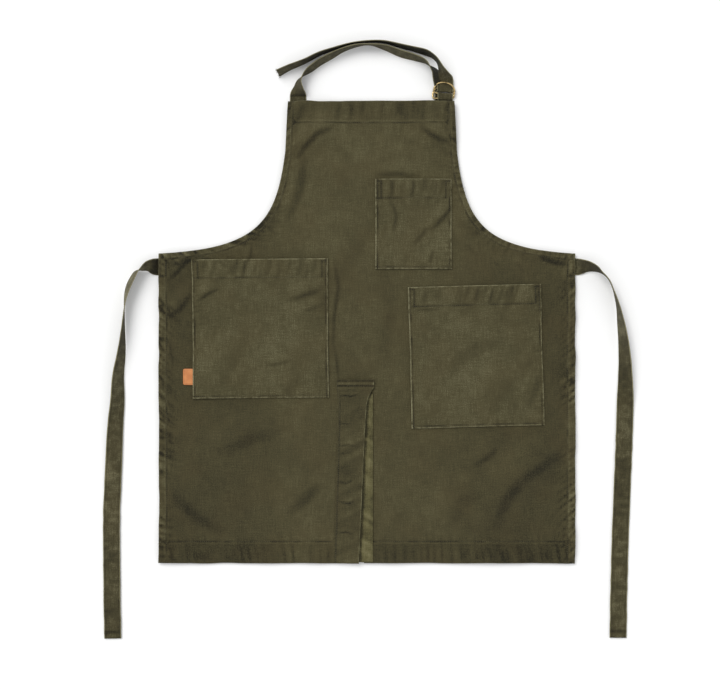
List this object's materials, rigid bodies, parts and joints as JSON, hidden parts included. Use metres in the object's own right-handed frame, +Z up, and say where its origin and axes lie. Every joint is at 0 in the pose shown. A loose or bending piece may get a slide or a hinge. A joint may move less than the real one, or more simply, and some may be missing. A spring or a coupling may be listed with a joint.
{
  "type": "gardening apron",
  "caption": "Canvas bib apron laid flat, with patch pockets on bib and skirt, a split front hem, a leather tab, a neck strap adjusted by D-rings and long waist ties.",
  "frame": {"origin": "middle of the underside of the laid apron's bounding box, on the surface it lies on", "axes": "+Z up from the surface, +Y from the bottom hem towards the bib and neck strap, +X to the right as seen from above"},
  "size_m": [0.9024, 1.0186, 0.0364],
  "materials": {
    "canvas": "washed matt canvas",
    "webbing": "matt twill strap cloth",
    "light_canvas": "worn matt canvas",
    "brass": "antique brass wire",
    "leather": "smooth tan leather"
  },
  "bodies": {
    "root": {"body_panel": "canvas", "slit_binding": "light_canvas", "slit_placket": "canvas", "chest_pocket": "canvas", "left_pocket": "canvas", "right_pocket": "canvas", "leather_tab": "leather", "d_ring_lower": "brass", "d_ring_upper": "brass", "ring_tab": "webbing", "neck_strap": "webbing", "left_waist_tie": "webbing", "right_waist_tie": "webbing"}
  },
  "joints": []
}
